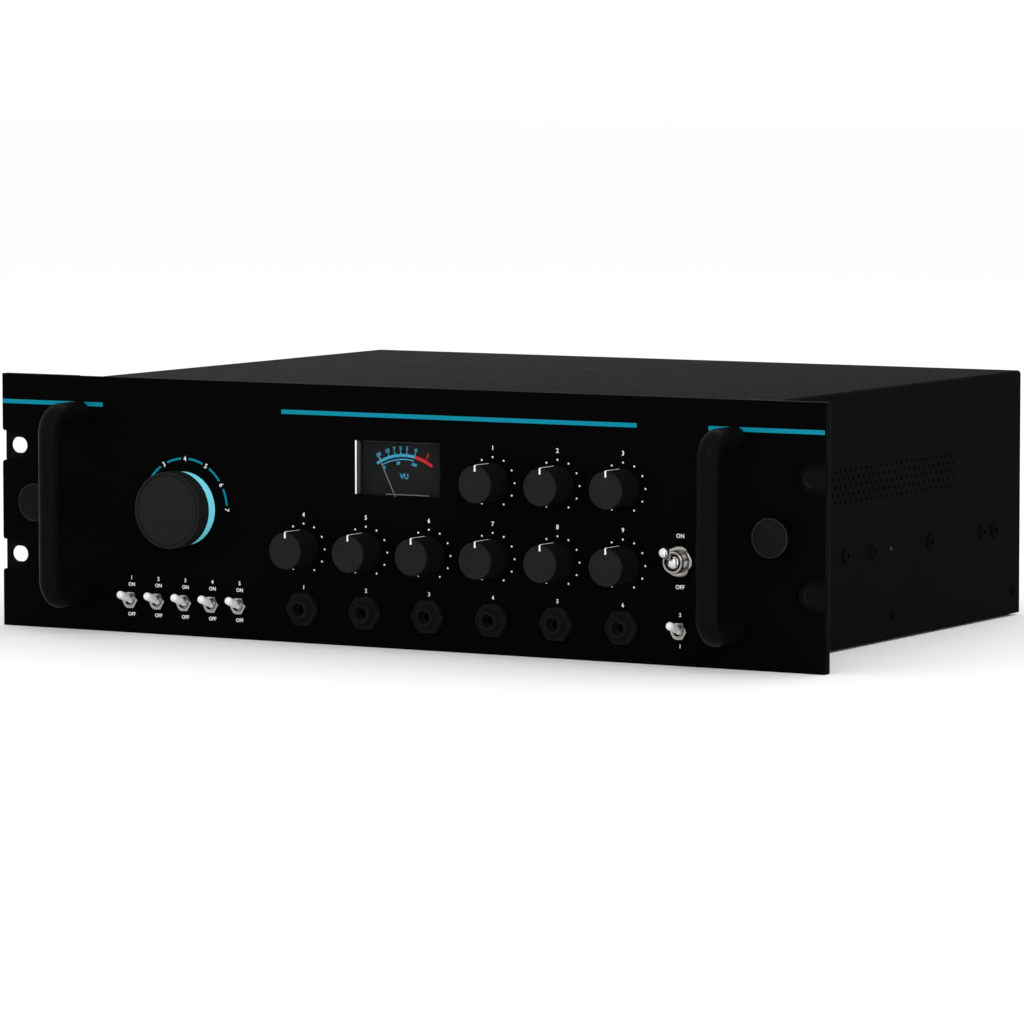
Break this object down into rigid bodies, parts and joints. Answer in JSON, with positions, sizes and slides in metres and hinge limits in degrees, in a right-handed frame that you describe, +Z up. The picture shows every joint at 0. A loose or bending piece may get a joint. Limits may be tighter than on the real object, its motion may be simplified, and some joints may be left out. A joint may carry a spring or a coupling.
{
  "type": "tape echo unit",
  "caption": "Rack-mounted tape echo unit: slide-out drawer with a control panel, level meter, bar handles and a covered tape deck with capstan, heads and a loose tape loop.",
  "frame": {"origin": "middle of the footprint, on the surface the unit stands on", "axes": "+X to the right seen from the front, +Y from the front panel to the rear panel, +Z up"},
  "size_m": [0.4826, 0.3486, 0.1325],
  "materials": {
    "black_panel": "fine textured black paint",
    "black_case": "satin black powder coat",
    "black_bar": "satin black",
    "black_plastic": "moulded, satin",
    "dark_plastic": "moulded, matt",
    "cyan_plastic": "satin",
    "steel": "zinc plated",
    "chrome": "bright",
    "white_lever": "bright",
    "aluminium": "fine brushed",
    "brass": "turned",
    "rubber": "matt",
    "clear": "clear moulded window",
    "dial": "matt",
    "circuit_board": "green lacquer",
    "tape": "brown oxide",
    "winding": "wrapped winding"
  },
  "bodies": {
    "case": {"case_cover": "black_case", "case_floor": "black_case", "rear_panel": "black_case", "mains_inlet": "dark_plastic", "ear_bracket_left": "black_case", "ear_bracket_right": "black_case", "slide_outer_left": "steel", "slide_outer_right": "steel"},
    "slide_middle_left": {"slide_middle_left": "steel"},
    "slide_middle_right": {"slide_middle_right": "steel"},
    "drawer": {"front_panel": "black_panel", "handle_left": "black_bar", "handle_right": "black_bar", "drawer_tray": "steel", "slide_inner_left": "steel", "slide_inner_right": "steel", "vu_meter_case": "dial", "vu_meter_cover": "clear", "control_board": "circuit_board", "jack_board": "dark_plastic", "switch_board": "chrome", "level_switch": "chrome", "power_switch": "chrome", "mode_switch": "dark_plastic", "deck_plate": "aluminium", "chamber_cover": "clear", "tape_loop": "tape", "head_block": "aluminium", "erase_head": "steel", "record_head": "steel", "motor": "steel", "drive_belt": "rubber", "transformer": "winding", "reverb_tank": "steel", "main_board": "circuit_board"},
    "mode_knob": {"mode_knob": "black_plastic", "mode_knob_ring": "cyan_plastic"},
    "knob_lower_1": {"knob_lower_1": "black_plastic"},
    "knob_lower_2": {"knob_lower_2": "black_plastic"},
    "knob_lower_3": {"knob_lower_3": "black_plastic"},
    "knob_lower_4": {"knob_lower_4": "black_plastic"},
    "knob_lower_5": {"knob_lower_5": "black_plastic"},
    "knob_lower_6": {"knob_lower_6": "black_plastic"},
    "knob_upper_1": {"knob_upper_1": "black_plastic"},
    "knob_upper_2": {"knob_upper_2": "black_plastic"},
    "knob_upper_3": {"knob_upper_3": "black_plastic"},
    "lever_1": {"lever_1": "white_lever"},
    "lever_2": {"lever_2": "white_lever"},
    "lever_3": {"lever_3": "white_lever"},
    "lever_4": {"lever_4": "white_lever"},
    "lever_5": {"lever_5": "white_lever"},
    "lever_level": {"lever_level": "white_lever"},
    "lever_power": {"lever_power": "chrome"},
    "lock_left": {"lock_left": "black_plastic"},
    "lock_right": {"lock_right": "black_plastic"},
    "vu_needle": {"vu_needle": "white_lever"},
    "capstan": {"capstan": "steel"},
    "motor_pulley": {"motor_pulley": "brass"},
    "pinch_arm": {"pinch_arm": "steel"},
    "pinch_roller": {"pinch_roller": "rubber"}
  },
  "joints": [
    {"name": "drawer_slide", "type": "slide", "parent": "case", "child": "drawer", "axis": [0, -1, 0], "range_m": [0, 0.25]},
    {"name": "slide_middle_left_run", "type": "slide", "parent": "case", "child": "slide_middle_left", "axis": [0, -1, 0], "range_m": [0, 0.125]},
    {"name": "slide_middle_right_run", "type": "slide", "parent": "case", "child": "slide_middle_right", "axis": [0, -1, 0], "range_m": [0, 0.125]},
    {"name": "knob_lower_1_turn", "type": "hinge", "parent": "drawer", "child": "knob_lower_1", "pos_m": [-0.05585, -0.1493, 0.04865], "axis": [0, 1, 0], "range_deg": [-150, 150]},
    {"name": "knob_lower_2_turn", "type": "hinge", "parent": "drawer", "child": "knob_lower_2", "pos_m": [-0.01875, -0.1493, 0.04865], "axis": [0, 1, 0], "range_deg": [-150, 150]},
    {"name": "knob_lower_3_turn", "type": "hinge", "parent": "drawer", "child": "knob_lower_3", "pos_m": [0.01835, -0.1493, 0.04865], "axis": [0, 1, 0], "range_deg": [-150, 150]},
    {"name": "knob_lower_4_turn", "type": "hinge", "parent": "drawer", "child": "knob_lower_4", "pos_m": [0.05545, -0.1493, 0.04865], "axis": [0, 1, 0], "range_deg": [-150, 150]},
    {"name": "knob_lower_5_turn", "type": "hinge", "parent": "drawer", "child": "knob_lower_5", "pos_m": [0.09255, -0.1493, 0.04865], "axis": [0, 1, 0], "range_deg": [-150, 150]},
    {"name": "knob_lower_6_turn", "type": "hinge", "parent": "drawer", "child": "knob_lower_6", "pos_m": [0.12965, -0.1493, 0.04865], "axis": [0, 1, 0], "range_deg": [-150, 150]},
    {"name": "knob_upper_1_turn", "type": "hinge", "parent": "drawer", "child": "knob_upper_1", "pos_m": [0.05545, -0.1493, 0.08675], "axis": [0, 1, 0], "range_deg": [-150, 150]},
    {"name": "knob_upper_2_turn", "type": "hinge", "parent": "drawer", "child": "knob_upper_2", "pos_m": [0.09255, -0.1493, 0.08675], "axis": [0, 1, 0], "range_deg": [-150, 150]},
    {"name": "knob_upper_3_turn", "type": "hinge", "parent": "drawer", "child": "knob_upper_3", "pos_m": [0.12965, -0.1493, 0.08675], "axis": [0, 1, 0], "range_deg": [-150, 150]},
    {"name": "mode_turn", "type": "hinge", "parent": "drawer", "child": "mode_knob", "pos_m": [-0.1276, -0.1493, 0.0662], "axis": [0, 1, 0], "range_deg": [0, 180]},
    {"name": "lever_1_flip", "type": "hinge", "parent": "drawer", "child": "lever_1", "pos_m": [-0.16075, -0.1405, 0.0172], "axis": [1, 0, 0], "range_deg": [0, 40]},
    {"name": "lever_2_flip", "type": "hinge", "parent": "drawer", "child": "lever_2", "pos_m": [-0.1442, -0.1405, 0.0172], "axis": [1, 0, 0], "range_deg": [0, 40]},
    {"name": "lever_3_flip", "type": "hinge", "parent": "drawer", "child": "lever_3", "pos_m": [-0.12765, -0.1405, 0.0172], "axis": [1, 0, 0], "range_deg": [0, 40]},
    {"name": "lever_4_flip", "type": "hinge", "parent": "drawer", "child": "lever_4", "pos_m": [-0.1111, -0.1405, 0.0172], "axis": [1, 0, 0], "range_deg": [0, 40]},
    {"name": "lever_5_flip", "type": "hinge", "parent": "drawer", "child": "lever_5", "pos_m": [-0.09455, -0.1405, 0.0172], "axis": [1, 0, 0], "range_deg": [0, 40]},
    {"name": "lever_level_flip", "type": "hinge", "parent": "drawer", "child": "lever_level", "pos_m": [0.16175, -0.1405, 0.0174], "axis": [1, 0, 0], "range_deg": [0, 40]},
    {"name": "lever_power_flip", "type": "hinge", "parent": "drawer", "child": "lever_power", "pos_m": [0.16175, -0.1453, 0.0519], "axis": [1, 0, 0], "range_deg": [0, 54]},
    {"name": "lock_left_turn", "type": "hinge", "parent": "drawer", "child": "lock_left", "pos_m": [-0.2155, -0.1393, 0.06625], "axis": [0, 1, 0], "range_deg": [0, 90]},
    {"name": "lock_right_turn", "type": "hinge", "parent": "drawer", "child": "lock_right", "pos_m": [0.2155, -0.1393, 0.06625], "axis": [0, 1, 0], "range_deg": [0, 90]},
    {"name": "vu_needle_swing", "type": "hinge", "parent": "drawer", "child": "vu_needle", "pos_m": [-0.0007, -0.132, 0.068], "axis": [0, 1, 0], "range_deg": [0, 56], "stiffness_Nm_per_rad": 0.00002},
    {"name": "capstan_spin", "type": "hinge", "parent": "drawer", "child": "capstan", "pos_m": [0.06, -0.04375, 0.07], "axis": [0, 0, 1], "continuous": true},
    {"name": "motor_pulley_spin", "type": "hinge", "parent": "drawer", "child": "motor_pulley", "pos_m": [0.13, 0.0107, 0.064], "axis": [0, 0, 1], "continuous": true},
    {"name": "pinch_arm_swing", "type": "hinge", "parent": "drawer", "child": "pinch_arm", "pos_m": [0.1, -0.0653, 0.088], "axis": [0, 0, 1], "range_deg": [0, 20], "stiffness_Nm_per_rad": 0.05},
    {"name": "pinch_roller_spin", "type": "hinge", "parent": "pinch_arm", "child": "pinch_roller", "pos_m": [0.06, -0.05885, 0.092], "axis": [0, 0, 1], "continuous": true}
  ],
  "couplings": [
    {"joint": "slide_middle_left_run", "follows": "drawer_slide", "ratio": 0.5},
    {"joint": "slide_middle_right_run", "follows": "drawer_slide", "ratio": 0.5},
    {"joint": "motor_pulley_spin", "follows": "capstan_spin", "ratio": 5.6667},
    {"joint": "pinch_roller_spin", "follows": "capstan_spin", "ratio": -0.2727}
  ]
}
